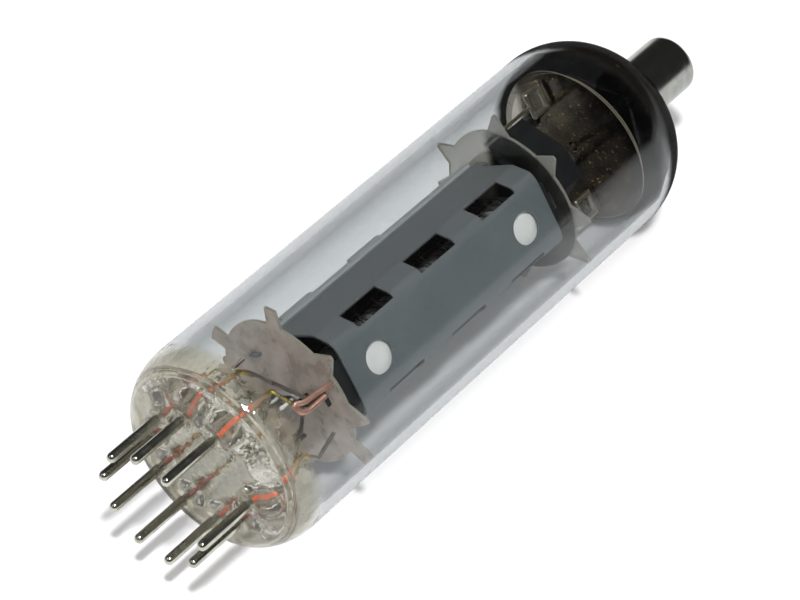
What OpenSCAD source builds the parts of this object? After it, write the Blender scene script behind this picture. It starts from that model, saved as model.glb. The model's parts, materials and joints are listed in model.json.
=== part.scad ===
// Nine-pin glass power pentode with a top cap, lying on its side.
// Every module draws in the tube's own frame: the axis is Z, the pins point down and leave the glass near
// z = 0, and the gap in the pin circle faces -Y. place() then lays the tube down along X.

/* [Envelope] */
// Outer diameter of the glass
bulb_d = 21.2; // [20.8:0.1:22]
// Thickness of the glass wall
bulb_wall = 0.8; // [0.6:0.05:0.9]
// Height at which the straight wall ends and the dome begins
dome_z = 56; // [54.5:0.5:58]
// Radius of the dome's shoulder
dome_r = 8; // [7:0.5:8.5]
// Slope of the crown between the shoulder and the pip, in degrees
crown_slope = 20; // [16:1:24]
// Height of the rounded foot above z = 0
foot_h = 4.6; // [4:0.1:5.2]
// Radius of the flat part of the foot
foot_flat_r = 7.5; // [7.3:0.1:7.8]

/* [Pins] */
// Diameter of a pin
pin_d = 1.016; // [0.9:0.002:1.1]
// Length of a pin from the glass to its tip
pin_length = 6.3; // [5.8:0.1:6.8]
// Diameter of the pin circle
pin_circle_d = 11.89; // [11.6:0.01:12.2]
// Diameter of the red seal wires
seal_wire_d = 0.46; // [0.4:0.02:0.6]

/* [Top cap] */
// Outer diameter of the cap
cap_d = 6.35; // [6:0.01:6.5]
// Height of the cap above the cement
cap_h = 7.4; // [6.5:0.1:8]
// Thickness of the cap's metal
cap_wall = 0.25; // [0.2:0.05:0.4]

/* [Anode] */
// Width of the box across its long sides
anode_w = 9.46; // [9:0.02:9.6]
// Depth of the box from the front face to the back face
anode_depth = 12.5; // [12.3:0.1:13]
// Height at which the box begins
anode_z0 = 14.5; // [14:0.1:15]
// Height at which the box ends
anode_z1 = 44.05; // [43.5:0.05:44.4]
// Thickness of the sheet
sheet_t = 0.2; // [0.15:0.01:0.25]
// Diameter of the round holes in the front and back faces
anode_hole_d = 3.25; // [2.8:0.05:3.4]
// Length of a slot in a chamfer
slot_length = 5.05; // [4:0.05:5.5]

/* [Micas] */
// Radius of the toothed micas between the teeth
mica_r = 7.9; // [7.7:0.05:8.2]
// Thickness of the toothed micas
mica_t = 0.3; // [0.2:0.05:0.4]
// Thickness of the round micas
round_mica_t = 0.16; // [0.1:0.02:0.3]
// Height of the lower mica
lower_mica_z = 11.65; // [11.4:0.05:11.9]
// Height of the upper mica
upper_mica_z = 44.9; // [44.6:0.05:45.1]
// Radius of the round mica below the dome
shield_mica_r = 8.6; // [8.2:0.05:9]
// Height of the round mica below the dome
shield_mica_z = 55; // [54.4:0.1:55.4]

/* [Grids] */
// Diameter of a grid's side rods
rod_d = 0.7; // [0.6:0.05:0.7]
// Diameter of the wound grid wire
grid_wire_d = 0.14; // [0.1:0.01:0.16]
// Pitch of the control grid's winding
control_pitch = 1; // [0.8:0.1:1.6]
// Pitch of the screen grid's winding
screen_pitch = 1.4; // [1.2:0.1:2]
// Pitch of the suppressor grid's winding
suppressor_pitch = 2.4; // [1.8:0.1:3.2]

/* [Hidden] */
$fn = 64;

bulb_r = bulb_d/2;
inner_r = bulb_r - bulb_wall;
pin_r = pin_d/2;
cap_r = cap_d/2;
rod_r = rod_d/2;
wire_r = grid_wire_d/2;

// The glass button in the foot
glass_z = -0.4;      // flat underside
floor_z = 2;         // top of the button between the bosses
seal_r = 8.4;        // the bulb is fused to the button here
seal_a = -acos((seal_r - foot_flat_r)/(bulb_r - foot_flat_r));
boss_out_h = 0.2;    // low collar of glass round each pin
boss_in_z = 3.9;     // tip of the tall boss round each seal wire
pin_root_z = glass_z - boss_out_h;
pin_tip_z = pin_root_z - pin_length;
weld_z = 0.8;        // pin and seal wire meet inside the glass
seal_wire_r = seal_wire_d/2;
seal_wire_z = 6.6;   // top end of a seal wire
shank_r = 0.35;      // thinner part of the pin inside the glass
lead_r = 0.2;
seat_gap = 0.01;     // clearance where a piece bears on another

// The dome and the cap
shoulder_end = [bulb_r - dome_r + dome_r*sin(crown_slope), dome_z + dome_r*cos(crown_slope)];
crown_tan = tan(crown_slope);
pip_r = 2.2;
pip_h = 2.3;
cap_wire_r = 0.35;
cap_wire_z0 = 58.5;
cement_r = 3.75;
cement_h = 0.8;
cap_z0 = crown_height(cement_r) + cement_h;
cap_z1 = cap_z0 + cap_h;
cap_edge_r = 0.8;
mid_z = (cap_z1 + pin_tip_z)/2;
roll_deg = 33.2;     // how far the tube has rolled from lying on its pin gap

// The cage sits a little off the axis
cage = [0.23, 0.1];
half_w = anode_w/2;
half_d = anode_depth/2;
face_half = 2.93;    // half width of the front face
fold_x = 3.83;       // the fold between the face and the chamfer
fold_y = half_d - 0.35;
chamfer_y = 3.9;     // the fold between the chamfer and the side
seam_y = 2.5;        // where the two shells meet
flange_w = 0.45;
slot_w = 2.35;
slot_shift = 0.3;    // from the middle of the chamfer towards the face
slot_zs = [20.4, 29.5, 38.6];
hole_zs = [18.4, 40.3];
hole_x = 0.15;
crimp_zs = [18.6, 28.5];    // tongues of the front shell, folded round the back shell's flange
crimp_length = 4.4;
crimp_out = 0.2;            // beyond the flange
crimp_lap = 0.12;           // behind it
leg_w = 1.6;
leg_y = 1.4;         // front shell's legs, in the sides
leg_x = 1.6;         // back shell's legs, in the back face
play = 0.03;         // clearance of whatever passes through a mica
mica_top = upper_mica_z + mica_t;
screen_y = half_d - 0.45;
screen_t = 0.15;
cathode_half = [0.6, 2];
cathode_z0 = 10.9;
cathode_z1 = 46;
heater_r = 0.16;
heater_leg_y = 1.2;
heater_fold_y = 0.4;
heater_z0 = 9.6;

// Grids: distance of the side rods from the cage's centre, and half width of the winding
control_y = 2.9;
control_x = 1.25;
screen_grid_y = 3.9;
screen_grid_x = 2.1;
suppressor_y = 4.85;
suppressor_x = 3.2;
rod_z0 = 10.4;
rod_z1 = 46.2;
winding_z0 = 15;
winding_z1 = 43.6;

// Half the teeth of each toothed mica: angle round the axis, width at the foot and width at the tip
lower_teeth = [[-157, 1.7, 1.2], [-114, 2.6, 0.35], [-73.5, 2.6, 0.35], [-44, 1.8, 1.8]];
upper_teeth = [for (a = [-160, -117, -75, -44]) [a, 2.6, 0.35]];
tooth_tip_r = inner_r - 0.02;

// Top of the cage
shield_top_z = 50.6;
shield_line = [[-6, -0.2], [-2.5, -4.1], [0.6, -5], [3, -1.5]];
shield_foot_w = 1.4;
support_xy = [[-3.4, 4], [3.6, 4]];
support_z0 = 44.2;
ring_mica_r = 7.95;
ring_mica_z = shield_mica_z + 0.75;
support_z1 = 56.6;
collar_r = 0.75;
anode_lead_r = 0.3;
anode_lead_hole = 0.6;
getter_x = 6.2;
getter_z = 52.5;
getter_loop = [2.3, 1.95];
getter_r = 0.28;
getter_leg_r = 0.18;

// Where each inner lead goes from the end of its seal wire: the points after the first, in the cage's frame
lead_points = [
    [[4.6, -4.6, 8.4], [3.9, -4.2, lower_mica_z - lead_r]],
    to_side([4.2, -2.2, 8.2], [0, -control_y, 10.8], rod_r),
    to_side([3.6, 1.1, 8], [0, 1.1, 11.2], cathode_half[0]),
    to_side([2, 3, 8.4], [0, heater_leg_y, 10.1], heater_r),
    to_side([-1.4, 3.6, 8.6], [0, -heater_leg_y, 10], heater_r),
    [[-3.8, 4.4, 8.4], [-4.2, 3.6, lower_mica_z - lead_r]],
    to_side([-4.6, 2.4, 8.2], [0, suppressor_y, 10.8], rod_r),
    to_side([-4.4, -2.2, 8.4], [0, -screen_grid_y, 10.8], rod_r),
    [[-2.17, -6.45, 7.54]]
];

// The copper wire in front of the lower mica, bent round at its lower end
link_r = 0.26;
link_points = [
    [-0.72, -7.1, 10.6], [-0.58, -6.8, 8.3], [-0.85, -6.6, 7.7],
    [-1.85, -6.5, 7.5], [-1.5, -6.9, 8.4], [-1.33, -7.2, lower_mica_z - 0.1]
];

elbow = 1.06;        // thickness of a straight wire's elbow against the wire
wire_bend = 0.3;     // how far from its corner a wire's bend starts
fold_bend = 0.35;    // the same for a fold in sheet
bend_steps = 3;
bent_sides = 10;     // corners of a bent wire's section

function crown_height(r) = shoulder_end[1] + (shoulder_end[0] - r)*crown_tan;
function arc(cx, cz, rx, rz, a0, a1, n) =
    [for (i = [0:n]) let (a = a0 + (a1 - a0)*i/n) [cx + rx*cos(a), cz + rz*sin(a)]];
function reversed(v) = [for (i = [len(v) - 1:-1:0]) v[i]];
function unit(v) = v/norm(v);
function left_of(v) = [-v[1], v[0]];
function pin_xy(k) = pin_circle_d/2*[cos(36*k - 90), sin(36*k - 90)];

// The last two points of a lead that comes from p and ends on the side of an upright rod of radius r,
// whose axis passes through q
function to_side(p, q, r) =
    let (away = unit([p[0] - q[0], p[1] - q[1], 0]), lean = away*unit(p - q))
    [p, q + (r + seat_gap + lead_r*sqrt(1 - lean*lean))*away];

// A line moved to its left by t, with mitred corners
function moved_left(p, t) = [
    for (i = [0:len(p) - 1])
        let (
            n1 = left_of(unit(p[max(i, 1)] - p[max(i, 1) - 1])),
            n2 = left_of(unit(p[min(i + 1, len(p) - 1)] - p[min(i, len(p) - 2)]))
        ) p[i] + t*(n1 + n2)/(1 + n1*n2)
];
function strip(p, t) = concat(p, reversed(moved_left(p, t)));

module place() {
    translate([-mid_z, 0, bulb_r]) rotate([0, 90, 0]) rotate([0, 0, -roll_deg]) children();
}

module at_cage() {
    translate([cage[0], cage[1], 0]) children();
}

// Round wire through a list of points, with a ball slightly thicker than the wire in each elbow
module wire(points, r) {
    for (i = [0:len(points) - 2]) {
        d = points[i + 1] - points[i];
        translate(points[i]) rotate([0, acos(d[2]/norm(d)), atan2(d[1], d[0])]) cylinder(r = r, h = norm(d));
    }
    if (len(points) > 2) {
        for (i = [1:len(points) - 2]) translate(points[i]) sphere(r = r*elbow);
    }
}

// Faces of a tube made of rings, each of which runs right-handed about the way along the tube
function tube_faces(rings, sides) = concat(
    [for (i = [0:rings - 2], j = [0:sides - 1])
        let (k = (j + 1)%sides) [sides*(i + 1) + j, sides*(i + 1) + k, sides*i + k, sides*i + j]],
    [[for (j = [0:sides - 1]) j], [for (j = [sides - 1:-1:0]) sides*(rings - 1) + j]]
);

// The points of a bend that replaces corner p, which starts and ends at this distance from it
function bend(from, p, to, distance) =
    let (a = p + distance*unit(from - p), b = p + distance*unit(to - p))
    [for (i = [0:bend_steps]) let (t = i/bend_steps) (1 - t)*(1 - t)*a + 2*t*(1 - t)*p + t*t*b];

// The same line with a bend at each corner between its ends
function softened(p, distance) = concat(
    [p[0]],
    [for (i = [1:len(p) - 2], q = bend(p[i - 1], p[i], p[i + 1], distance)) q],
    [p[len(p) - 1]]
);

// Wire with soft bends. No stretch of it runs along the direction side.
module bent_wire(points, r, side) {
    path = softened(points, wire_bend);
    n = len(path);
    rings = [
        for (i = [0:n - 1], j = [0:bent_sides - 1])
            let (
                t = unit(path[min(i + 1, n - 1)] - path[max(i - 1, 0)]),
                a = unit(cross(t, side)),
                q = 360*j/bent_sides
            ) path[i] + r*(cos(q)*a + sin(q)*cross(t, a))
    ];
    polyhedron(points = rings, faces = tube_faces(n, bent_sides));
}

// Envelope
module bulb() {
    outer = concat(
        arc(foot_flat_r, foot_h, bulb_r - foot_flat_r, foot_h - glass_z, seal_a, 0, 10),
        arc(bulb_r - dome_r, dome_z, dome_r, dome_r, 0, 90 - crown_slope, 14),
        [[pip_r, crown_height(pip_r)], [1.4, crown_height(1.4) + 0.6]],
        [[0.9, crown_height(pip_r) + pip_h - 0.2], [cap_wire_r, crown_height(pip_r) + pip_h]]
    );
    inner = concat(
        [[seal_r, floor_z]],
        arc(seal_r, foot_h, inner_r - seal_r, foot_h - floor_z, -80, 0, 8),
        arc(bulb_r - dome_r, dome_z, dome_r - bulb_wall, dome_r - bulb_wall, 0, 90 - crown_slope, 14),
        [[1.2, crown_height(1.2) - bulb_wall], [cap_wire_r, crown_height(1.2) - 0.4]]
    );
    color("lightcyan", 0.3) rotate_extrude($fn = 96) polygon(concat(outer, reversed(inner)));
}

module stem_button() {
    rim = arc(foot_flat_r, foot_h, bulb_r - foot_flat_r, foot_h - glass_z, -90, seal_a, 4);
    color("lightcyan", 0.4) difference() {
        union() {
            rotate_extrude($fn = 96) polygon(concat([[0, glass_z]], rim, [[seal_r, floor_z], [0, floor_z]]));
            for (k = [1:9]) translate(pin_xy(k)) {
                translate([0, 0, floor_z - 0.5]) cylinder(r1 = 1.7, r2 = 0.8, h = boss_in_z - floor_z + 0.5);
                translate([0, 0, pin_root_z]) cylinder(r = 1.05, h = 1);
            }
        }
        for (k = [1:9]) translate(pin_xy(k)) {
            translate([0, 0, pin_root_z - 1]) cylinder(r = shank_r, h = weld_z - pin_root_z + 1);
            cylinder(r = seal_wire_r, h = boss_in_z + 1);
        }
    }
}

module pin(k) {
    tip = arc(0, pin_tip_z + pin_r, pin_r, pin_r, -90, 0, 8);
    shank = [[pin_r, pin_root_z], [shank_r, pin_root_z], [shank_r, weld_z], [0, weld_z]];
    color("dimgray") translate(pin_xy(k)) rotate_extrude($fn = 32) polygon(concat(tip, shank));
}

module seal_wire(k) {
    color("orangered") translate(pin_xy(k)) translate([0, 0, weld_z]) {
        cylinder(r = seal_wire_r, h = seal_wire_z - weld_z);
    }
}

module inner_lead(k) {
    start = [pin_xy(k)[0], pin_xy(k)[1], seal_wire_z];
    rest = [for (p = lead_points[k - 1]) p + [cage[0], cage[1], 0]];
    away = rest[len(rest) - 1] - start;
    color("gray") bent_wire(concat([start, start + [0, 0, 0.6]], rest), lead_r, unit([-away[1], away[0], 0]));
}

module cap_wire() {
    length = cap_z1 - cap_wall - cap_wire_z0;
    color("gray") translate([0, 0, cap_wire_z0]) cylinder(r = cap_wire_r, h = length);
}

module cap_cement() {
    profile = [
        [pip_r, crown_height(pip_r)],
        [cement_r, crown_height(cement_r)],
        [cement_r, cap_z0 - 0.2],
        [cement_r - 0.2, cap_z0],
        [cap_r - cap_wall, cap_z0],
        [cap_r - cap_wall, cap_z0 + 1],
        [pip_r, cap_z0 + 1]
    ];
    color("darkslategray") rotate_extrude() polygon(profile);
}

module top_cap() {
    edge_x = cap_r - cap_edge_r;
    edge_z = cap_z1 - cap_edge_r;
    within = cap_edge_r - cap_wall;
    outer = concat([[cap_r, cap_z0]], arc(edge_x, edge_z, cap_edge_r, cap_edge_r, 0, 90, 8));
    inner = concat([[cap_r - cap_wall, cap_z0]], arc(edge_x, edge_z, within, within, 0, 90, 8));
    color("dimgray") rotate_extrude() {
        polygon(concat(outer, [[0, cap_z1], [0, cap_z1 - cap_wall]], reversed(inner)));
    }
}

module copper_link() {
    color("peru") bent_wire(link_points, link_r, [0, 1, 0]);
}

// Micas
module tooth(foot, tip) {
    polygon([[mica_r - 1, -foot/2], [mica_r - 0.1, -foot/2], [inner_r, -tip/2],
        [inner_r, tip/2], [mica_r - 0.1, foot/2], [mica_r - 1, foot/2]]);
}

module toothed_mica(teeth) {
    linear_extrude(mica_t) difference() {
        intersection() {
            circle(r = tooth_tip_r, $fn = 96);
            union() {
                circle(r = mica_r, $fn = 96);
                for (t = teeth) for (half = [0, 180]) rotate([0, 0, t[0] + half]) tooth(t[1], t[2]);
            }
        }
        translate(cage) cage_holes();
    }
}

module slot2d(x, y, w, t) {
    translate([x - w/2 - play, y - t/2 - play]) square([w + 2*play, t + 2*play]);
}

module stadium(half) {
    square([2*half[0], 2*(half[1] - half[0])], center = true);
    for (s = [-1, 1]) translate([0, s*(half[1] - half[0])]) circle(r = half[0]);
}

module cage_holes() {
    for (s = [-1, 1]) {
        for (y = [control_y, screen_grid_y, suppressor_y]) translate([0, s*y]) circle(r = rod_r + play);
        slot2d(s*(half_w - sheet_t/2), leg_y, sheet_t, leg_w);
        slot2d(s*leg_x, half_d - sheet_t/2, leg_w, sheet_t);
        slot2d(0, s*(screen_y - screen_t/2), leg_w, screen_t);
    }
    stadium(cathode_half + [play, play]);
}

module lower_mica() {
    color("rosybrown", 0.8) translate([0, 0, lower_mica_z]) toothed_mica(lower_teeth);
}

module upper_mica() {
    color("rosybrown", 0.8) difference() {
        translate([0, 0, upper_mica_z]) toothed_mica(upper_teeth);
        for (p = support_xy) translate([p[0], p[1], upper_mica_z - 1]) cylinder(r = rod_r + play, h = 3);
        shield_feet(play);
    }
}

module round_mica(r, z) {
    translate([0, 0, z]) difference() {
        cylinder(r = r, h = round_mica_t, $fn = 96);
        for (p = support_xy) translate([p[0], p[1], -1]) cylinder(r = rod_r + play, h = 3);
        translate([0, 0, -1]) cylinder(r = anode_lead_hole, h = 3);
    }
}

module shield_mica() {
    color("rosybrown", 0.6) round_mica(shield_mica_r, shield_mica_z);
}

module ring_mica() {
    color("rosybrown", 0.6) round_mica(ring_mica_r, ring_mica_z);
}

// Anode: each shell is one folded sheet
module sheet(line, z0, z1) {
    translate([0, 0, z0]) linear_extrude(z1 - z0) polygon(strip(softened(line, fold_bend), sheet_t));
}

module leg(x, y, w, d) {
    translate([x - w/2, y - d/2, lower_mica_z - 0.4]) cube([w, d, anode_z0 - lower_mica_z + 0.5]);
    translate([x - w/2, y - d/2, anode_z1 - 0.1]) cube([w, d, mica_top + 0.4 - anode_z1 + 0.1]);
}

module chamfer_slots(side) {
    slope = atan2(fold_y - chamfer_y, half_w - fold_x);
    for (s = [-1, 1]) for (z = slot_zs) {
        translate([s*(half_w + fold_x)/2, side*(chamfer_y + fold_y)/2, z]) rotate([0, 0, s*side*(90 - slope)])
            translate([0, side*slot_shift, 0]) cube([1.6, slot_w, slot_length], center = true);
    }
}

module face_holes(side) {
    for (z = hole_zs) translate([hole_x, side*half_d, z]) rotate([90, 0, 0]) {
        cylinder(r = anode_hole_d/2, h = 2, center = true);
    }
}

module crimp() {
    x = half_w + flange_w;
    x_out = x + crimp_out;
    x_in = x - crimp_lap;
    near = seam_y - sheet_t;
    far = seam_y + sheet_t + seat_gap;
    linear_extrude(crimp_length, center = true) polygon([
        [x - 0.1, near], [x_out, near], [x_out, far + sheet_t], [x_in, far + sheet_t],
        [x_in, far], [x + seat_gap, far], [x + seat_gap, seam_y], [x - 0.1, seam_y]
    ]);
}

module anode_front() {
    half = [[half_w + flange_w, seam_y - sheet_t], [half_w, seam_y - sheet_t], [half_w, -chamfer_y],
        [fold_x, -fold_y], [face_half, -half_d]];
    line = concat([for (p = half) [-p[0], p[1]]], reversed(half));
    color("lightslategray") at_cage() difference() {
        union() {
            sheet(line, anode_z0, anode_z1);
            for (s = [-1, 1]) {
                leg(s*(half_w - sheet_t/2), leg_y, sheet_t, leg_w);
                for (z = crimp_zs) translate([0, 0, z]) mirror([s < 0 ? 1 : 0, 0, 0]) crimp();
            }
        }
        chamfer_slots(-1);
        face_holes(-1);
    }
}

module anode_back() {
    half = [[half_w + flange_w, seam_y + sheet_t], [half_w, seam_y + sheet_t], [half_w, chamfer_y],
        [fold_x, fold_y], [face_half, half_d]];
    line = concat(half, reversed([for (p = half) [-p[0], p[1]]]));
    color("lightslategray") at_cage() difference() {
        union() {
            sheet(line, anode_z0, anode_z1);
            for (s = [-1, 1]) leg(s*leg_x, half_d - sheet_t/2, leg_w, sheet_t);
        }
        chamfer_slots(1);
        face_holes(1);
    }
}

module end_screen(side) {
    y = side*(screen_y - screen_t/2);
    color("gainsboro") at_cage() {
        translate([-2.2, y - screen_t/2, lower_mica_z + mica_t]) {
            cube([4.4, screen_t, upper_mica_z - lower_mica_z - mica_t]);
        }
        translate([-leg_w/2, y - screen_t/2, lower_mica_z - 0.4]) {
            cube([leg_w, screen_t, mica_top + 0.7 - lower_mica_z]);
        }
    }
}

// Cathode and heater
module cathode_sleeve() {
    wall = 0.1;
    color("silver") at_cage() translate([0, 0, cathode_z0]) {
        linear_extrude(cathode_z1 - cathode_z0) difference() {
            stadium(cathode_half);
            stadium(cathode_half - [wall, wall]);
        }
    }
}

module heater() {
    top = cathode_z1 - 1.5;
    low = cathode_z0 + 1.5;
    leg = [[0, heater_leg_y, heater_z0], [0, heater_leg_y, top]];
    half = concat(leg, [[0, heater_fold_y, top], [0, heater_fold_y, low]]);
    other = reversed([for (p = half) [p[0], -p[1], p[2]]]);
    color("whitesmoke") at_cage() wire(concat(half, other), heater_r);
}

// Grids: two side rods and a wound wire that bears on their outer sides
module grid_rods(y, top) {
    at_cage() for (s = [-1, 1]) translate([0, s*y, rod_z0]) cylinder(r = rod_r, h = top - rod_z0);
}

module winding(half_x, rod_y, pitch) {
    bearing = (rod_r + wire_r)/cos(22.5);      // at this radius the wire's straight stretches touch the rod
    over = [for (a = [22.5:45:157.5]) [bearing*cos(a), rod_y + bearing*sin(a)]];
    half_turn = concat(over, [[-half_x, 0.45*rod_y], [-half_x, -0.45*rod_y]]);
    turn = concat(half_turn, [for (p = half_turn) -p]);
    steps = len(turn);
    sides = 4;                                 // corners of the wire's section
    count = floor((winding_z1 - winding_z0)/pitch)*steps;
    points = [
        for (i = [0:count], j = [0:sides - 1])
            let (
                along = unit(turn[(i + 1)%steps] - turn[(i + steps - 1)%steps]),
                b = 360*j/sides,
                c = turn[i%steps] - wire_r*cos(b)*left_of(along)
            ) [c[0], c[1], winding_z0 + pitch*i/steps - wire_r*sin(b)]
    ];
    at_cage() polyhedron(points = points, faces = tube_faces(count + 1, sides));
}

module control_grid_rods() {
    color("peru") grid_rods(control_y, rod_z1);
}

module control_grid_wire() {
    color("gold") winding(control_x, control_y, control_pitch);
}

module screen_grid_rods() {
    color("gray") grid_rods(screen_grid_y, rod_z1);
}

module screen_grid_wire() {
    color("darkgray") winding(screen_grid_x, screen_grid_y, screen_pitch);
}

module suppressor_rods() {
    color("gray") grid_rods(suppressor_y, mica_top);
}

module suppressor_wire() {
    color("darkgray") winding(suppressor_x, suppressor_y, suppressor_pitch);
}

// Top of the cage
module shield_feet(gap) {
    for (i = [0, 1]) {
        a = shield_line[i];
        b = shield_line[i + 1];
        d = unit(b - a);
        m = (a + b)/2 + left_of(d)*sheet_t/2;
        translate([m[0], m[1], upper_mica_z - 0.5]) rotate([0, 0, atan2(d[1], d[0])]) {
            translate([-shield_foot_w/2 - gap, -sheet_t/2 - gap, 0]) {
                cube([shield_foot_w + 2*gap, sheet_t + 2*gap, mica_t + 0.6]);
            }
        }
    }
}

module top_shield() {
    color("black") {
        sheet(shield_line, mica_top, shield_top_z);
        shield_feet(0);
    }
}

module support_rods() {
    color("gray") for (p = support_xy) translate([p[0], p[1], 0]) {
        translate([0, 0, support_z0]) cylinder(r = rod_r, h = support_z1 - support_z0);
        for (z = [upper_mica_z - 0.5, mica_top, shield_mica_z - 0.5, ring_mica_z + round_mica_t]) {
            translate([0, 0, z]) cylinder(r = collar_r, h = 0.5);
        }
        translate([0, 0, shield_mica_z + round_mica_t]) {
            cylinder(r = collar_r, h = ring_mica_z - shield_mica_z - round_mica_t);
        }
    }
}

module anode_lead() {
    along = unit(shield_line[2] - shield_line[1]);
    weld = (shield_line[1] + shield_line[2])/2 + (sheet_t + anode_lead_r)*left_of(along);
    color("gray") bent_wire([
        [weld[0], weld[1], shield_top_z - 2],
        [weld[0], weld[1], shield_top_z + 0.6],
        [0, 0, 54],
        [0, 0, cap_wire_z0]
    ], anode_lead_r, [1, 0, 0]);
}

module getter(side) {
    top = getter_z + getter_loop[1];
    w = getter_loop[0]/2;
    color("darkkhaki") translate([side*getter_x, 0.2, 0]) {
        wire([[-w, 0, getter_z], [-w, 0, top], [w, 0, top], [w, 0, getter_z],
            [-w, 0, getter_z], [-w, 0, getter_z + 0.2]], getter_r);
        wire([[0, 0, mica_top], [0, 0, getter_z]], getter_leg_r);
    }
}

place() bulb();
place() stem_button();
for (k = [1:9]) {
    place() pin(k);
    place() seal_wire(k);
    place() inner_lead(k);
}
place() cap_wire();
place() cap_cement();
place() top_cap();
place() copper_link();
place() lower_mica();
place() upper_mica();
place() anode_front();
place() anode_back();
place() end_screen(-1);  // end_screen_front
place() end_screen(1);  // end_screen_back
place() cathode_sleeve();
place() heater();
place() control_grid_rods();
place() control_grid_wire();
place() screen_grid_rods();
place() screen_grid_wire();
place() suppressor_rods();
place() suppressor_wire();
place() top_shield();
place() support_rods();
place() shield_mica();
place() ring_mica();
place() anode_lead();
place() getter(-1);  // getter_left
place() getter(1);  // getter_right
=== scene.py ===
import json
from math import cos, pi, radians, sin, tan

import bmesh
import bpy
from mathutils import Matrix, Vector


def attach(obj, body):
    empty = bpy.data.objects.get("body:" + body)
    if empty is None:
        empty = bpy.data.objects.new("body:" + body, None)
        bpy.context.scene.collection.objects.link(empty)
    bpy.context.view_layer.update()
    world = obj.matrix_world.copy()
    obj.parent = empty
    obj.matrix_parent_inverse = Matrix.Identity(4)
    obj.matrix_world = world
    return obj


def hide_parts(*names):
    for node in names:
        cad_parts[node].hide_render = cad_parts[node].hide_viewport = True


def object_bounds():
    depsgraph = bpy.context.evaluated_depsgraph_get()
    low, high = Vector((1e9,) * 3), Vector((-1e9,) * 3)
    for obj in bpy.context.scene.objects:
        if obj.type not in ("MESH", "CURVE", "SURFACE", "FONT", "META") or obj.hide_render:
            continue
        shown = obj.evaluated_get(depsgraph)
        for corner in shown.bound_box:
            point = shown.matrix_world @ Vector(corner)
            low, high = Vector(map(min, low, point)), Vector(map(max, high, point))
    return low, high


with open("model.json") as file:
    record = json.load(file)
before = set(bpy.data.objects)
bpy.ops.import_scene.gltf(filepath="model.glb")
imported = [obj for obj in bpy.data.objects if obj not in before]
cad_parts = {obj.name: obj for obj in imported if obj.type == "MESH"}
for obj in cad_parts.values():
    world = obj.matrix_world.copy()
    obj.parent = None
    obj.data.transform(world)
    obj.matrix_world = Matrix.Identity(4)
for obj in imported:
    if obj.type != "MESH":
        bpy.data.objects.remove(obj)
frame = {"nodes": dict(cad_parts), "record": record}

cadLow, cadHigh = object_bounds()
print("frame loaded,", len(frame["nodes"]), "nodes")

perMetre = 1000

# The tube's own measures, in millimetres, with its axis along Z and its pins pointing down.
# The frame gives the ones that place it.
tube = {
    "radius": (cadHigh.z - cadLow.z) * perMetre / 2,
    "wall": 0.8,
    "pinTip": -6.9,
    "rolledBy": 33.2,
    "domeStart": 56,
    "domeRadius": 8,
    "crownSlope": 20,
    "footHeight": 4.6,
    "footFlat": 7.5,
    "underside": -0.4,
    "floor": 2.0,
    "pins": 9,
    "pinCircle": 11.89,
    "pinPitch": 36,
    "pinGapAt": -90,
    "cage": 0.23,  # how far the anode stands off the axis, towards its right flange
    "window": (0.97, -0.23),  # the side on which the upper micas stayed clear
}
middleHeight = tube["pinTip"] - cadLow.x * perMetre  # of the frame's origin above the seat
layDown = (
    Matrix.Translation((-middleHeight / perMetre, 0, tube["radius"] / perMetre))
    @ Matrix.Rotation(radians(90), 4, "Y")
    @ Matrix.Rotation(radians(-tube["rolledBy"]), 4, "Z")
    @ Matrix.Scale(1 / perMetre, 4)
)
insideRadius = tube["radius"] - tube["wall"]
shoulderMiddle = tube["radius"] - tube["domeRadius"]  # of the bend between wall and crown


def crownHeight(r, drop=0):
    # the height of the crown at this radius, or of the inside of a wall this thick
    slope = radians(tube["crownSlope"])
    edge = shoulderMiddle + (tube["domeRadius"] - drop) * sin(slope)
    return tube["domeStart"] + (tube["domeRadius"] - drop) * cos(slope) + (edge - r) * tan(slope)


# Shader expressions


class Shade:
    def __init__(self, tree, socket=None):
        self.tree = tree
        self.socket = socket

    def node(self, kind, settings=None, sockets=None, out=0):
        # out is the number or name of the output that is used; the last node has none
        made = self.tree.nodes.new("ShaderNode" + kind)
        for name, value in (settings or {}).items():
            setattr(made, name, value)
        for name, value in (sockets or {}).items():
            if isinstance(value, Shade):
                self.tree.links.new(value.socket, made.inputs[name])
            else:
                made.inputs[name].default_value = value
        return Shade(self.tree, made.outputs[out] if made.outputs else None)

    def maths(self, operation, *terms):
        return self.node("Math", {"operation": operation}, dict(enumerate(terms)))

    def __add__(self, other):
        return self.maths("ADD", self, other)

    def __sub__(self, other):
        return self.maths("SUBTRACT", self, other)

    def __mul__(self, other):
        return self.maths("MULTIPLY", self, other)

    def __truediv__(self, other):
        return self.maths("DIVIDE", self, other)

    def __rsub__(self, other):
        return self.maths("SUBTRACT", other, self)

    __radd__ = __add__
    __rmul__ = __mul__


def newMaterial(name):
    material = bpy.data.materials.new(name)
    material.use_nodes = True
    material.node_tree.nodes.clear()
    return material, Shade(material.node_tree)


def place(shade):
    return shade.node("TexCoord", out="Object")


def along(shade):
    # the distance along the tube's axis from the seat of the pins, in millimetres
    return shade.node("SeparateXYZ", sockets={"Vector": place(shade)}, out="X") * perMetre + middleHeight


def dot(shade, first, second):
    return shade.node("VectorMath", {"operation": "DOT_PRODUCT"}, {0: first, 1: second}, out="Value")


def offAxis(shade):
    # the way from the tube's axis out to a spot on the surface, in metres
    axis = (0, 0, tube["radius"] / perMetre)
    centre = shade.node("VectorMath", {"operation": "SUBTRACT"}, {0: place(shade), 1: axis})
    return shade.node("VectorMath", {"operation": "MULTIPLY"}, {0: centre, 1: (0, 1, 1)})


def outward(shade):
    # 1 on faces that point away from the tube's axis, -1 on faces that point at it
    away = shade.node("VectorMath", {"operation": "NORMALIZE"}, {0: offAxis(shade)})
    faces = shade.node("TexCoord", out="Normal")
    return dot(shade, away, faces)


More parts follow.
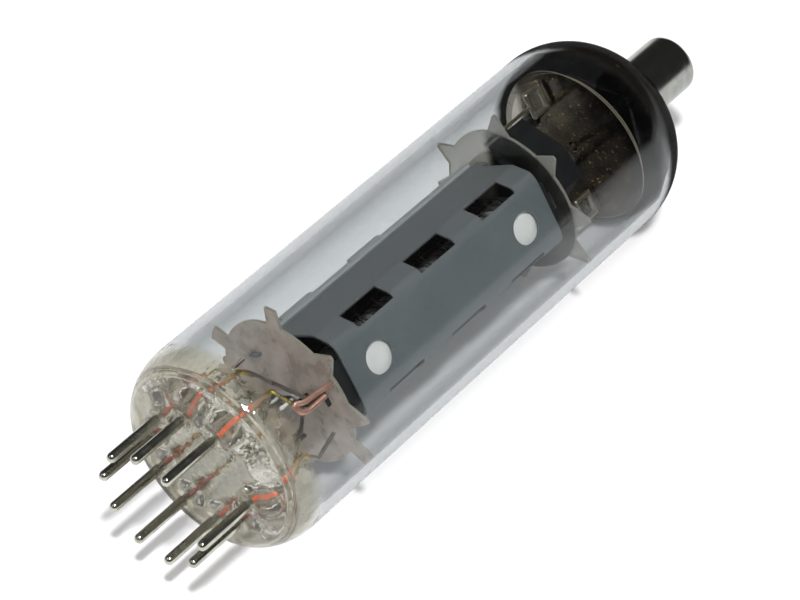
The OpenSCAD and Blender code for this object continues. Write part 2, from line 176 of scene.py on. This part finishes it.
def reach(shade, y, z):
    # how far a spot lies from the axis in this direction, in millimetres
    ahead = (0, perMetre * y, perMetre * z)
    return dot(shade, offAxis(shade), ahead)


def sideways(shade):
    # the distance from the middle of the anode, which is negative towards its left flange
    turned = radians(tube["rolledBy"])
    return reach(shade, -sin(turned), -cos(turned)) - tube["cage"]


def fromAxis(shade):
    # the distance from the tube's axis, in millimetres
    return shade.node("VectorMath", {"operation": "LENGTH"}, {0: offAxis(shade)}, out="Value") * perMetre


def cloud(shade, size, detail=4.0, rough=0.55, seed=0.0, stretch=(1, 1, 1)):
    # noise whose blotches are about this many millimetres across
    spot = shade.node(
        "Mapping", sockets={"Vector": place(shade), "Scale": stretch, "Location": (seed, seed, seed)}
    )
    fineness = {"Scale": perMetre / size, "Detail": detail, "Roughness": rough}
    return shade.node("TexNoise", sockets={"Vector": spot, **fineness})


def rayIs(shade, name):
    return shade.node("LightPath", out=name)


def ramp(shade, value, low, high, start=0.0, end=1.0):
    # a smooth step of value from low to high
    return shade.node(
        "MapRange",
        {"interpolation_type": "SMOOTHSTEP"},
        {"Value": value, "From Min": low, "From Max": high, "To Min": start, "To Max": end},
    )


# The span of noise over which a mask rises: in soft blotches, or in patches with an edge
softly = (0.3, 0.7)
sharply = (0.46, 0.54)


def withAlpha(colour):
    return (*colour, 1) if isinstance(colour, tuple) else colour


def blend(shade, mask, first, second):
    # from the first colour to the second as the mask goes from 0 to 1
    colours = {0: mask, 6: withAlpha(first), 7: withAlpha(second)}
    return shade.node("Mix", {"data_type": "RGBA"}, colours, out=2)


def darker(colour, share):
    return tuple(c * (1 - share) for c in colour)


def bump(shade, height, distance, strength=1.0):
    # distance is how deep the relief is, in millimetres
    deep = distance / perMetre
    return shade.node("Bump", sockets={"Height": height, "Distance": deep, "Strength": strength})


def surface(shade, **sockets):
    named = {name.replace("_", " "): withAlpha(value) for name, value in sockets.items()}
    return shade.node("BsdfPrincipled", sockets=named)


# Finishes

glassLook = {
    "tint": (0.77, 0.79, 0.795),
    "edgeTint": (0.42, 0.435, 0.44),  # where the glass is seen at a slant
    "edgeSlants": (0.25, 0.8),
    "sideTint": (0.86, 0.88, 0.885),  # painted light: a lighter tint far out on one side, most of all near the dome
    "sideTo": (0.85, 0.526),
    "sideReach": (2.5, 6.5),
    "sideHeights": (0, 55),
    "sideShares": (0.7, 1),
    "footTint": (0.57, 0.545, 0.44),
    "footHeights": (5.2, 3.2),
    "milk": (0.34, 0.32, 0.26),  # the cords and bubbles of the pressed foot
    "milkHeights": (4.6, 3.4),
    "milkVeil": 0.12,
    "milkCords": 0.22,
    "cordSize": 0.8,
    "cordStretch": (0.3, 1, 1),
    "cordEdge": (0.4, 0.65),
    "dullTint": (0.66, 0.67, 0.675),  # of the share that only lets light through
    "dullMiddle": 0.4,
    "dullEdges": 0.55,  # how much larger that share is at the edges
    "dullSlants": (0.35, 0.75),
    "dullFoot": 0.7,  # how much of it the foot does without
    "index": 1.47,
    "shade": (0.94, 0.94, 0.94),  # how much of the light that goes straight on it lets through
    "deepest": 9.5,  # a ray that has met more surfaces goes straight on
    "trapped": 2.5,  # so does one that has been mirrored more often
    "ripple": 0.05,
    "rippleSize": 1.3,
    "creases": 0.16,  # how deep the creases of the pressed foot are, beside its ripple
    "creaseSize": 1.7,
}


def clearGlass(name, outer):
    look = glassLook
    material, shade = newMaterial(name)
    foot = ramp(shade, along(shade), *look["footHeights"])
    ripple = cloud(shade, look["rippleSize"], detail=2.0)
    creases = ramp(shade, cloud(shade, look["creaseSize"], detail=2.0, seed=4.0), *sharply)
    pressed = foot * (ripple + creases * look["creases"])
    facing = shade.node("LayerWeight", sockets={"Blend": 0.5}, out="Facing")
    slant = ramp(shade, facing, *look["edgeSlants"])
    # painted light: the glass takes a lighter tint far out on one side, most of all near the dome
    sideLight = ramp(shade, reach(shade, *look["sideTo"]), *look["sideReach"])
    sideLight = sideLight * ramp(shade, along(shade), *look["sideHeights"], *look["sideShares"])
    tint = blend(shade, sideLight, look["tint"], look["sideTint"])
    tint = blend(shade, slant, tint, look["edgeTint"])
    glass = surface(
        shade,
        Base_Color=blend(shade, foot, tint, look["footTint"]),
        Roughness=0.0,
        IOR=look["index"],
        Transmission_Weight=1.0,
        Normal=bump(shade, pressed, look["ripple"]),
    )
    if outer:
        # beside the glass that mirrors: dull glass that only lets light through, and milk in the foot
        dull = shade.node(
            "BsdfRefraction",
            sockets={"Color": withAlpha(look["dullTint"]), "Roughness": 0.0, "IOR": look["index"]},
        )
        share = ramp(shade, slant, *look["dullSlants"]) * look["dullEdges"] + look["dullMiddle"]
        share = share * (1 - foot * look["dullFoot"])
        glass = shade.node("MixShader", sockets={0: share, 1: glass, 2: dull})
        milk = shade.node("BsdfDiffuse", sockets={"Color": withAlpha(look["milk"])})
        cords = cloud(shade, look["cordSize"], stretch=look["cordStretch"])
        share = ramp(shade, cords, *look["cordEdge"]) * look["milkCords"] + look["milkVeil"]
        share = ramp(shade, along(shade), *look["milkHeights"]) * share
        glass = shade.node("MixShader", sockets={0: share, 1: glass, 2: milk})
    passed = shade.node("BsdfTransparent", sockets={"Color": withAlpha(look["shade"])})
    deep = shade.maths("GREATER_THAN", rayIs(shade, "Ray Depth"), look["deepest"])
    trapped = shade.maths("GREATER_THAN", rayIs(shade, "Glossy Depth"), look["trapped"])
    lets = shade.maths("MAXIMUM", rayIs(shade, "Is Shadow Ray"), rayIs(shade, "Is Diffuse Ray"))
    lets = shade.maths("MAXIMUM", lets, shade.maths("MAXIMUM", deep, trapped))
    made = shade.node("MixShader", sockets={0: lets, 1: glass, 2: passed})
    shade.node("OutputMaterial", sockets={"Surface": made})
    return material


mirrorLook = {
    "colour": (0.009, 0.008, 0.0065),
    "smoke": (0.05, 0.04, 0.03),  # at its thin edge
    "glint": (0.3, 0.21, 0.08),
    "from": 55.45,
    "to": 57.2,
    "lean": 2.2,  # how much higher it starts on one side, and lower on the other
    "leanTo": (-0.75, 0.66),
    "waver": 2.0,
    "waverSize": 5.0,
    "spotSize": 2.4,
    "spots": (0.67, 0.74),  # where its noise turns into glints
    "metal": (0.25, 0.9),  # beside the glints and in them
    "rough": 0.2,
    "shine": 0.15,
    "cover": 0.99,
}


def getterMirror():
    look = mirrorLook
    material, shade = newMaterial("getterMirror")
    side = reach(shade, *look["leanTo"]) / tube["radius"]
    waver = cloud(shade, look["waverSize"], detail=3.0) * look["waver"]
    height = along(shade) - side * look["lean"] + waver - look["waver"] / 2
    thick = ramp(shade, height, look["from"], look["to"])
    colour = blend(shade, thick, look["smoke"], look["colour"])
    spots = cloud(shade, look["spotSize"], detail=5.0, rough=0.6, seed=7.0)
    spots = ramp(shade, spots, *look["spots"])
    made = surface(
        shade,
        Base_Color=blend(shade, spots, colour, look["glint"]),
        Metallic=ramp(shade, spots, 0, 1, *look["metal"]),
        Roughness=look["rough"],
        Specular_IOR_Level=look["shine"],
        Alpha=thick * look["cover"],
    )
    shade.node("OutputMaterial", sockets={"Surface": made})
    return material


nickelLook = {
    "blotchSize": 1.2,
    "blotches": (0.35, 0.7),
    "lineStretch": (0.08, 1, 1),
    "dullest": 1.3,  # in times the roughness
    "brightest": 0.8,
    "relief": 0.01,
}


def dullNickel(name, colour, rough, streak=0.35, grain=0.2):
    # streak is how much darker its blotches are, grain how wide the drawn lines are
    look = nickelLook
    material, shade = newMaterial(name)
    blotch = cloud(shade, look["blotchSize"], detail=5.0)
    drawn = cloud(shade, grain, detail=3.0, stretch=look["lineStretch"])
    made = surface(
        shade,
        Base_Color=blend(shade, ramp(shade, blotch, *look["blotches"]), darker(colour, streak), colour),
        Metallic=1.0,
        Roughness=ramp(shade, blotch, *softly, rough * look["dullest"], rough * look["brightest"]),
        Normal=bump(shade, drawn, look["relief"], strength=0.25),
    )
    shade.node("OutputMaterial", sockets={"Surface": made})
    return material


sealLook = {
    "dull": ((0.3, 0.06, 0.06), (0.46, 0.085, 0.05)),
    "dullSize": 5.0,
    "dullEdge": (0.42, 0.58),
    "bright": (0.8, 0.13, 0.03),
    "brightTo": [(-0.355, 0.935), (-0.999, -0.049)],  # where the two brightest wires stand
    "brightReach": (4.9, 5.4),
    "bare": ((0.75, 0.34, 0.2), (0.6, 0.42, 0.14)),  # copper and gilt, above the red
    "bareHeights": (4.0, 5.2),
    "giltSize": 0.6,
    "giltEdge": (0.42, 0.6),
    "waver": 1.2,
    "waverSize": 1.5,
    "metal": (0.2, 0.9),  # in the red and above it
    "rough": 0.38,
}


def sealWire():
    look = sealLook
    material, shade = newMaterial("sealWire")
    height = along(shade) + cloud(shade, look["waverSize"]) * look["waver"] - look["waver"] / 2
    red = blend(shade, ramp(shade, cloud(shade, look["dullSize"]), *look["dullEdge"]), *look["dull"])
    for way in look["brightTo"]:
        near = ramp(shade, reach(shade, *way), *look["brightReach"])
        red = blend(shade, near, red, look["bright"])
    gilt = ramp(shade, cloud(shade, look["giltSize"], seed=3.0), *look["giltEdge"])
    bare = blend(shade, gilt, *look["bare"])
    made = surface(
        shade,
        Base_Color=blend(shade, ramp(shade, height, *look["bareHeights"]), red, bare),
        Metallic=ramp(shade, height, *look["bareHeights"], *look["metal"]),
        Roughness=look["rough"],
    )
    shade.node("OutputMaterial", sockets={"Surface": made})
    return material


leadLook = {
    "grey": ((0.16, 0.15, 0.12), (0.36, 0.34, 0.29)),
    "blotchSize": 0.9,
    "blotches": (0.35, 0.65),
    "yellow": (0.62, 0.47, 0.1),  # near the seals
    "yellowSize": 3.0,
    "yellowHeights": (8.0, 7.2),
    "browned": (0.3, 0.265, 0.24),  # near the mica
    "brownedHeights": (7.4, 8.2),
    "brownedEnd": (40.0, 30.0),
    "rough": (0.42, 0.25),
}


def leadMetal():
    look = leadLook
    material, shade = newMaterial("leadNickel")
    blotch = cloud(shade, look["blotchSize"])
    height = along(shade)
    tone = blend(shade, ramp(shade, blotch, *look["blotches"]), *look["grey"])
    yellow = ramp(shade, cloud(shade, look["yellowSize"], detail=2.0, seed=2.0), *sharply)
    yellow = yellow * ramp(shade, height, *look["yellowHeights"])
    tone = blend(shade, yellow, tone, look["yellow"])
    browned = ramp(shade, height, *look["brownedHeights"]) * ramp(shade, height, *look["brownedEnd"])
    made = surface(
        shade,
        Base_Color=blend(shade, browned, tone, look["browned"]),
        Metallic=1.0,
        Roughness=ramp(shade, blotch, *softly, *look["rough"]),
    )
    shade.node("OutputMaterial", sockets={"Surface": made})
    return material


micaLook = {
    "flakeSize": 3.5,
    "flakes": (0.35, 0.66),
    "speckSize": 0.35,
    "specks": (0.62, 0.74),
    "fleckAndGlint": (0.66, 0.62, 0.57),
    # painted sheen: the teeth are lighter towards the rim
    "teeth": (0.62, 0.6, 0.55),
    "teethReach": (7.6, 8.2),
    # painted shade: the middle of the sheet is painted near black, as the shade inside the anode
    "shadedCore": (0.004, 0.004, 0.004),
    "coreReach": (6.2, 5.2),
    "windowEdge": 1.2,
    "bandEdge": 0.15,
    "rimFrom": (0.3, 0.6),  # how far a face is turned away from the tube's axis
    "rimVeil": 0.9,
    "rough": (0.22, 0.4),
    "metalGloss": 0.5,  # how much smoother it is where it is silvered
    "coat": 0.6,
    "coatRough": 0.12,
    "relief": 0.04,
}


def micaSheet(
    name,
    dark,
    light,
    clear,
    solid,
    speckle,
    rim,
    pale=0.0,
    shadedCore=0.0,
    metal=0.0,
    window=None,
    band=None,
    fleckAndGlint=micaLook["fleckAndGlint"],
):
    # clear and solid are how much the sheet hides where it is thinnest and thickest, pale is
    # how much lighter its teeth are as a painted sheen, core is how much of its middle is painted
    # near black as the shade inside the anode, and metal is how much of it the getter has silvered,
    # apart from a window on one side: where it starts, its colour and how much it hides. Outside a
    # band's start the sheet is clearer
    look = micaLook
    material, shade = newMaterial(name)
    flakes = cloud(shade, look["flakeSize"], detail=6.0, rough=0.62)
    specks = ramp(shade, cloud(shade, look["speckSize"], detail=2.0), *look["specks"]) * speckle
    tone = blend(shade, ramp(shade, flakes, *look["flakes"]), dark, light)
    # specks in the mica's own colour, or painted glints where they are golden
    tone = blend(shade, specks, tone, fleckAndGlint)
    normal = shade.node("TexCoord", out="Normal")
    facing = shade.maths("ABSOLUTE", shade.node("SeparateXYZ", sockets={"Vector": normal}, out="X"))
    edge = ramp(shade, 1 - facing, *look["rimFrom"])
    # painted sheen on the teeth, as strong as pale says
    teeth = ramp(shade, fromAxis(shade), *look["teethReach"])
    tone = blend(shade, teeth * pale, tone, look["teeth"])
    # painted shade in the middle of the sheet
    middle = ramp(shade, fromAxis(shade), *look["coreReach"]) * shadedCore
    tone = blend(shade, middle, tone, look["shadedCore"])
    hides = ramp(shade, flakes, *softly, solid, clear)
    metal = (1 - edge) * metal
    if window:
        near, colour, veil = window
        free = ramp(shade, reach(shade, *tube["window"]), near, near + look["windowEdge"])
        tone = blend(shade, free, tone, colour)
        hides = hides * (1 - free) + free * veil
        metal = metal * (1 - free)
    if band:
        near, veil = band
        far = near + look["bandEdge"]
        hides = hides * ramp(shade, fromAxis(shade), near, far, start=1.0, end=veil)
    hides = shade.maths("MAXIMUM", hides, edge * look["rimVeil"])
    hides = shade.maths("MAXIMUM", hides, middle)
    made = surface(
        shade,
        Base_Color=blend(shade, edge, tone, rim),
        Metallic=metal,
        Roughness=ramp(shade, flakes, *softly, *look["rough"]) * (1 - metal * look["metalGloss"]),
        Alpha=hides,
        Coat_Weight=look["coat"],
        Coat_Roughness=look["coatRough"],
        Normal=bump(shade, cloud(shade, look["flakeSize"], detail=2.0), look["relief"], strength=0.4),
    )
    shade.node("OutputMaterial", sockets={"Surface": made})
    return material


anodeLook = {
    "sheet": ((0.124, 0.146, 0.155), (0.144, 0.167, 0.175)),
    "patchSize": 6.0,
    "patches": (0.3, 0.72),
    "grain": (0.2, 0.22, 0.225),
    "grainSize": 0.28,
    "grainEdge": (0.5, 0.75),
    "grainShare": 0.5,
    # painted light: lit and shaded tones for the left side and the right chamfer
    "left": (0.138, 0.15, 0.154),
    "leftFrom": (-2.4, -4.2),
    "right": (0.14, 0.163, 0.172),
    "rightFrom": (3.9, 4.5),
    # painted shade: faces that look in towards the axis are near black
    "inside": (0.004, 0.004, 0.004),
    "insideFrom": (-0.25, -0.45),
    # pale as a bare edge, and lighter still as a painted highlight where it catches the light
    "flange": (0.33, 0.35, 0.35),
    "flangeFrom": (4.82, 4.9),
    "metal": 0.15,
    "rough": 0.62,
    "relief": 0.03,
}


def anodeGrey():
    look = anodeLook
    material, shade = newMaterial("anodeGrey")
    grain = cloud(shade, look["grainSize"], detail=6.0, rough=0.7)
    patches = cloud(shade, look["patchSize"], detail=5.0)
    tone = blend(shade, ramp(shade, patches, *look["patches"]), *look["sheet"])
    grains = ramp(shade, grain, *look["grainEdge"]) * look["grainShare"]
    tone = blend(shade, grains, tone, look["grain"])
    side = sideways(shade)
    # painted light: the left side and the right chamfer get their own lit and shaded tones
    tone = blend(shade, ramp(shade, side, *look["leftFrom"]), tone, look["left"])
    tone = blend(shade, ramp(shade, side, *look["rightFrom"]), tone, look["right"])
    # the flange's pale tone is partly a painted highlight
    flange = ramp(shade, shade.maths("ABSOLUTE", side), *look["flangeFrom"])
    # painted shade: faces that look in towards the axis turn near black
    inside = ramp(shade, outward(shade), *look["insideFrom"]) * (1 - flange)
    tone = blend(shade, inside, tone, look["inside"])
    made = surface(
        shade,
        Base_Color=blend(shade, flange, tone, look["flange"]),
        Metallic=look["metal"],
        Roughness=look["rough"],
        Normal=bump(shade, grain, look["relief"], strength=0.5),
    )
    shade.node("OutputMaterial", sockets={"Surface": made})
    return material


screenLook = {
    # painted shade: near black outside the band that shows through the round holes
    "ends": (0.012, 0.013, 0.013),
    "pale": ((0.8, 0.815, 0.79), (0.87, 0.88, 0.85)),  # where it shows through the round holes
    "paleFrom": (16.0, 16.6),
    "paleTo": (43.0, 42.4),
    "paleOutside": (0.2, 0.4),
    "blotchSize": 1.5,
    "metal": 0.1,
    "rough": 0.6,
    "relief": 0.01,
}


def endScreen():
    look = screenLook
    material, shade = newMaterial("brightNickel")
    height = along(shade)
    # painted shade: only outward faces between these heights keep the pale tone
    bright = ramp(shade, height, *look["paleFrom"]) * ramp(shade, height, *look["paleTo"])
    bright = bright * ramp(shade, outward(shade), *look["paleOutside"])
    blotch = cloud(shade, look["blotchSize"], detail=5.0)
    pale = blend(shade, ramp(shade, blotch, *softly), *look["pale"])
    made = surface(
        shade,
        Base_Color=blend(shade, bright, look["ends"], pale),
        Metallic=look["metal"],
        Roughness=look["rough"],
        Normal=bump(shade, blotch, look["relief"], strength=0.5),
    )
    shade.node("OutputMaterial", sockets={"Surface": made})
    return material


def plainCoat(name, colour, rough, metal=0.0, size=0.8, vary=0.25, relief=0.01, shine=0.5):
    # size is how large its blotches are in millimetres, vary how much darker they are
    material, shade = newMaterial(name)
    blotch = cloud(shade, size, detail=5.0)
    made = surface(
        shade,
        Base_Color=blend(shade, ramp(shade, blotch, *softly), darker(colour, vary), colour),
        Metallic=metal,
        Roughness=rough,
        Specular_IOR_Level=shine,
        Normal=bump(shade, blotch, relief, strength=0.5),
    )
    shade.node("OutputMaterial", sockets={"Surface": made})
    return material


finishes = {
    "pin_metal": dullNickel("pinNickel", (0.54, 0.535, 0.465), rough=0.22, streak=0.25),
    "seal_wire": sealWire(),
    "lead_metal": leadMetal(),
    "cement": plainCoat("darkCement", (0.05, 0.048, 0.045), rough=0.4, size=0.5, vary=0.4, relief=0.05),
    "cap_metal": dullNickel("capNickel", (0.36, 0.365, 0.34), rough=0.2, streak=0.2, grain=0.4),
    "copper": plainCoat("bareCopper", (0.94, 0.56, 0.43), rough=0.33, metal=0.9),
    "mica": micaSheet(
        "greyMica",
        dark=(0.3, 0.25, 0.21),
        light=(0.59, 0.51, 0.445),
        clear=0.8,
        solid=0.92,
        speckle=0.1,
        rim=(0.3, 0.29, 0.235),
    ),
    "clear_mica": micaSheet(
        "clearMica",
        dark=(0.008, 0.008, 0.007),
        light=(0.03, 0.028, 0.024),
        clear=0.6,
        solid=0.85,
        speckle=0.1,
        rim=(0.24, 0.23, 0.2),
        pale=0.6,
        # its middle is painted near black as painted shade
        shadedCore=0.94,
        window=(1.2, (0.42, 0.4, 0.335), 0.5),
    ),
    "smoked_mica": micaSheet(
        "smokedMica",
        dark=(0.028, 0.018, 0.008),
        light=(0.11, 0.078, 0.036),
        clear=0.93,
        solid=0.98,
        # painted glints: many golden flecks over the silvered mica
        speckle=0.8,
        fleckAndGlint=(0.75, 0.56, 0.22),
        rim=(0.19, 0.17, 0.125),
        metal=0.95,
        window=(5.6, (0.75, 0.7, 0.6), 0.9),
        band=(7.75, 0.4),
    ),
    "anode_metal": anodeGrey(),
    "bright_nickel": endScreen(),
    "cathode_coat": plainCoat("oxideCoat", (0.3, 0.295, 0.28), rough=0.9, size=0.4, vary=0.12, relief=0.02),
    "heater_coat": plainCoat("aluminaCoat", (0.85, 0.84, 0.82), rough=0.85, size=0.3, vary=0.1, relief=0.02),
    # painted shade: the rods and wires inside the anode are painted near black, darker than their metals
    "copper_rods": plainCoat("shadedCopperedRod", (0.09, 0.04, 0.022), rough=0.5, metal=1.0),
    "gold_wire": plainCoat("shadedGiltWire", (0.06, 0.042, 0.018), rough=0.5, metal=1.0),
    "grid_nickel": dullNickel("shadedRodNickel", (0.07, 0.068, 0.062), rough=0.45),
    "grid_wire": plainCoat("shadedGridWire", (0.03, 0.03, 0.029), rough=0.5, metal=1.0),
    # near black as a blackened sheet, and darker still as painted shade
    "black_metal": plainCoat("blackenedAndShadedSheet", (0.007, 0.0075, 0.008), rough=0.6, shine=0.2),
    "getter_metal": plainCoat("flashedNickel", (0.5, 0.46, 0.36), rough=0.3, metal=0.95),
    "bulb": clearGlass("blownGlass", outer=True),
    "stem_glass": clearGlass("glassInside", outer=False),
}
# sheet, whose folds and edges stay sharp
flatFinishes = ["mica", "clear_mica", "smoked_mica", "anode_metal", "black_metal", "bright_nickel"]
slotOf = {part["node"]: part["material_slot"] for part in frame["record"]["subparts"]}
for name, node in frame["nodes"].items():
    node.data.materials.clear()
    node.data.materials.append(finishes[slotOf[name]])
print("finishes made")


# Pieces


def arc(cx, cz, rx, rz, start, end, steps):
    turns = [radians(start + (end - start) * i / steps) for i in range(steps + 1)]
    return [(cx + rx * cos(a), cz + rz * sin(a)) for a in turns]


def spun(profile, segments, flip=False):
    # a shell of revolution from a profile, closed where it starts and ends on the axis
    bm = bmesh.new()
    corners = [bm.verts.new((r, 0, z)) for r, z in profile]
    edges = [bm.edges.new(pair) for pair in zip(corners, corners[1:])]
    whole = {"cent": (0, 0, 0), "axis": (0, 0, 1), "angle": 2 * pi, "use_merge": True}
    bmesh.ops.spin(bm, geom=corners + edges, steps=segments, **whole)
    bmesh.ops.remove_doubles(bm, verts=bm.verts, dist=1e-5)
    bmesh.ops.recalc_face_normals(bm, faces=bm.faces)
    if flip:
        bmesh.ops.reverse_faces(bm, faces=bm.faces)
    return bm


def piece(name, bm, material, stands=()):
    bmesh.ops.transform(bm, matrix=layDown, verts=bm.verts)
    mesh = bpy.data.meshes.new(name)
    bm.to_mesh(mesh)
    bm.free()
    mesh.materials.append(material)
    for face in mesh.polygons:
        face.use_smooth = True
    made = bpy.data.objects.new(name, mesh)
    bpy.context.scene.collection.objects.link(made)
    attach(made, "root")
    if stands:
        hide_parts(*stands)
    return made


def joined(bm, other, material):
    # other's faces take the material of this number
    mesh = bpy.data.meshes.new("part")
    for face in other.faces:
        face.material_index = material
    other.to_mesh(mesh)
    other.free()
    bm.from_mesh(mesh)
    bpy.data.meshes.remove(mesh)
    return bm


def shoulder(drop=0):
    # the bend between wall and crown, or the inside of one this thick
    bend = tube["domeRadius"] - drop
    end = 90 - tube["crownSlope"]
    return arc(shoulderMiddle, tube["domeStart"], bend, bend, start=0, end=end, steps=24)


def smoothStep(x):
    x = min(max(x, 0), 1)
    return x * x * (3 - 2 * x)


envelope = {
    "segments": 160,
    "underRings": 36,
    "floorRings": 72,
    "wallRings": (15, 25, 35, 45),
    "floorRadius": 8.7,
    "topRadius": 1.2,  # the low point inside the crown
    "topRise": 0.1,
    "bossTop": 3.9,  # the bosses that hold the pins, inside the foot
    "bossFoot": 1.7,
    "bossEdge": 1.1,
    "collar": 0.2,  # the collars round the pins, under the foot
    "collarRadius": 1.05,
    "collarEdge": 0.25,
    "pipRadius": 2.2,
    "pipHeight": 2.1,
    "pipNeck": 1.4,
    "pipNeckHeight": 0.6,
    "pipTip": 0.9,
    "pipRound": 0.3,
    "beadRadius": 8.75,  # the ring where the foot is sealed
    "beadRise": 0.3,
    "beadWidth": 0.55,
}
heightStep = 0.01  # vertices closer than this to a flat belong to it
pinTurns = [radians(tube["pinPitch"] * (k + 1) + tube["pinGapAt"]) for k in range(tube["pins"])]
pinSpots = [Vector((cos(t), sin(t), 0)) * tube["pinCircle"] / 2 for t in pinTurns]


def toPin(v):
    return min((v.co - spot).xy.length for spot in pinSpots)


def glassOutside():
    form = envelope
    rings = form["underRings"]
    under = [(tube["footFlat"] * i / rings, tube["underside"]) for i in range(rings)]
    foot = arc(
        tube["footFlat"],
        tube["footHeight"],
        tube["radius"] - tube["footFlat"],
        tube["footHeight"] - tube["underside"],
        start=-90,
        end=0,
        steps=18,
    )
    walls = [(tube["radius"], z) for z in form["wallRings"]]
    pipTop = crownHeight(form["pipRadius"]) + form["pipHeight"]
    pip = [
        (form["pipRadius"], crownHeight(form["pipRadius"])),
        (form["pipNeck"], crownHeight(form["pipNeck"]) + form["pipNeckHeight"]),
        (form["pipTip"], pipTop - form["pipRound"]),
        (0, pipTop),
    ]
    bm = spun(under + foot + walls + shoulder() + pip, form["segments"])
    for v in bm.verts:
        if v.co.z < tube["underside"] + heightStep:
            v.co.z -= form["collar"] * smoothStep((form["collarRadius"] - toPin(v)) / form["collarEdge"])
    return bm


def glassInside():
    form = envelope
    drop = tube["wall"]
    rings = form["floorRings"]
    floor = [(form["floorRadius"] * i / rings, tube["floor"]) for i in range(rings)]
    corner = arc(
        form["floorRadius"],
        tube["footHeight"],
        insideRadius - form["floorRadius"],
        tube["footHeight"] - tube["floor"],
        start=-90,
        end=0,
        steps=14,
    )
    walls = [(insideRadius, z) for z in form["wallRings"]]
    topHeight = crownHeight(form["topRadius"], drop)
    top = [(form["topRadius"], topHeight), (0, topHeight + form["topRise"])]
    bm = spun(floor + corner + walls + shoulder(drop) + top, form["segments"], flip=True)
    rise = form["bossTop"] - tube["floor"]
    for v in bm.verts:
        if v.co.z < tube["floor"] + heightStep:
            v.co.z += rise * smoothStep((form["bossFoot"] - toPin(v)) / form["bossEdge"])
        if v.co.z < tube["footHeight"]:
            off = abs(v.co.xy.length - form["beadRadius"])
            v.co.z += form["beadRise"] * smoothStep(1 - off / form["beadWidth"])
    return bm


glassBody = joined(glassOutside(), glassInside(), 1)
glass = piece("glassEnvelope", glassBody, finishes["bulb"], ("bulb", "stem_button"))
glass.data.materials.append(finishes["stem_glass"])

film = {
    "segments": 128,
    "gap": -0.03,  # below 0, so that it lies in the wall, with no air between them
    "from": 50.5,
    "wallRing": 53,
    "hole": 0.8,
}


def mirrorFilm():
    drop = tube["wall"] + film["gap"]
    start = [(insideRadius - film["gap"], z) for z in (film["from"], film["wallRing"])]
    top = [(film["hole"], crownHeight(film["hole"], drop))]
    return spun(start + shoulder(drop) + top, film["segments"])


piece("getterFilm", mirrorFilm(), getterMirror())
print("glass and film made")

sharpFrom = 40
for name, node in frame["nodes"].items():
    node.data.shade_smooth()
    if slotOf[name] in flatFinishes:
        node.data.shade_flat()
    else:
        node.data.set_sharp_from_angle(angle=radians(sharpFrom))

# Floor, light and camera

studio = {
    "floorSize": 3,
    "floorTone": (0.88, 0.885, 0.89),
    "floorRough": 0.9,
    "floorLift": 0.12,
    "room": 0.36,  # how much the whole room lights the object
    "ceiling": 0.04,  # how bright it looks in metal and glass, above white walls
    "wallsEnd": (-0.02, 0.1),
    "lamps": [  # name, place, size and power
        ("keyLamp", (-0.19, -0.2, 0.65), 0.065, 4.7),
        ("fillLamp", (-0.5, 0.3, 0.6), 0.2, 0.7),
    ],
    "lampAim": (0, 0, 0.01),
}


def makeFloor():
    material, shade = newMaterial("paleFloor")
    seen = shade.maths("MAXIMUM", rayIs(shade, "Is Camera Ray"), rayIs(shade, "Is Glossy Ray"))
    seen = shade.maths("MAXIMUM", seen, rayIs(shade, "Is Transmission Ray"))
    matt = surface(
        shade,
        Base_Color=studio["floorTone"],
        Roughness=studio["floorRough"],
        Specular_IOR_Level=0.0,
    )
    white = shade.node("Emission", sockets={"Color": (1, 1, 1, 1), "Strength": seen * studio["floorLift"]})
    made = shade.node("AddShader", sockets={0: matt, 1: white})
    shade.node("OutputMaterial", sockets={"Surface": made})
    bm = bmesh.new()
    bmesh.ops.create_grid(bm, x_segments=1, y_segments=1, size=studio["floorSize"])
    mesh = bpy.data.meshes.new("floor")
    bm.to_mesh(mesh)
    bm.free()
    mesh.materials.append(material)
    floor = bpy.data.objects.new("floor", mesh)
    bpy.context.scene.collection.objects.link(floor)


def makeLamps():
    for name, spot, size, power in studio["lamps"]:
        data = bpy.data.lights.new(name, "AREA")
        data.size = size
        data.energy = power
        lamp = bpy.data.objects.new(name, data)
        lamp.location = spot
        ahead = Vector(studio["lampAim"]) - Vector(spot)
        lamp.rotation_euler = ahead.to_track_quat("-Z", "Y").to_euler()
        bpy.context.scene.collection.objects.link(lamp)


def makeWorld():
    world = bpy.data.worlds.new("softRoom")
    world.use_nodes = True
    world.node_tree.nodes.clear()
    shade = Shade(world.node_tree)
    up = shade.node("SeparateXYZ", sockets={"Vector": shade.node("TexCoord", out="Generated")}, out="Z")
    walls = ramp(shade, up, *studio["wallsEnd"], start=1.0, end=studio["ceiling"])
    walls = shade.maths("MAXIMUM", walls, rayIs(shade, "Is Camera Ray"))
    diffuse = rayIs(shade, "Is Diffuse Ray")
    strength = walls * (1 - diffuse) + diffuse * studio["room"]
    walls = shade.node("Background", sockets={"Color": (1, 1, 1, 1), "Strength": strength})
    shade.node("OutputWorld", sockets={"Surface": walls})
    bpy.context.scene.world = world


view = {
    "place": (-0.14932, -0.11965, 0.20307),
    "toward": (0.5373, 0.4444, -0.7168),
    "lens": 126.865,
    "sensor": 36,
    "nearest": 0.01,
}


def makeCamera():
    data = bpy.data.cameras.new("camera")
    data.lens = view["lens"]
    data.sensor_width = view["sensor"]
    data.clip_start = view["nearest"]
    camera = bpy.data.objects.new("camera", data)
    camera.location = view["place"]
    camera.rotation_euler = Vector(view["toward"]).to_track_quat("-Z", "Y").to_euler()
    bpy.context.scene.collection.objects.link(camera)
    bpy.context.scene.camera = camera


makeFloor()
makeLamps()
makeWorld()
makeCamera()
bpy.context.scene.view_settings.view_transform = "Standard"
print("floor, lamps and camera set")
